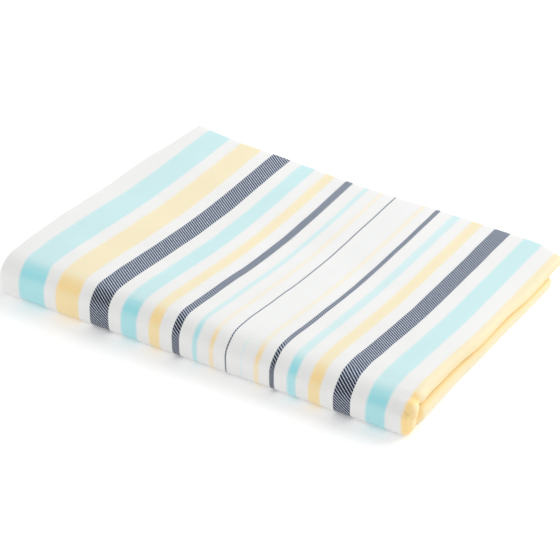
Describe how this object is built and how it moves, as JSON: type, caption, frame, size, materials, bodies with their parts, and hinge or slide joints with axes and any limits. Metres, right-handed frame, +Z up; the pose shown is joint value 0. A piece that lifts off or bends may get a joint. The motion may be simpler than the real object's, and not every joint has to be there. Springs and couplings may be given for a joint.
{
  "type": "folded beach towel",
  "caption": "Striped woven cotton beach towel folded into a flat rectangular packet, with a plump front fold and a rolled side, to lie on a shelf, lounger or sand.",
  "frame": {"origin": "bottom centre of the folded packet's box, on the surface it lies on", "axes": "+X along the front fold towards the rolled side, +Y along the stripes away from the front fold, +Z up"},
  "size_m": [0.4474, 0.3434, 0.04],
  "materials": {
    "cloth": "matt twill weave, white with pale cyan, pale yellow and navy stripes"
  },
  "bodies": {
    "root": {"towel": "cloth"}
  },
  "joints": []
}
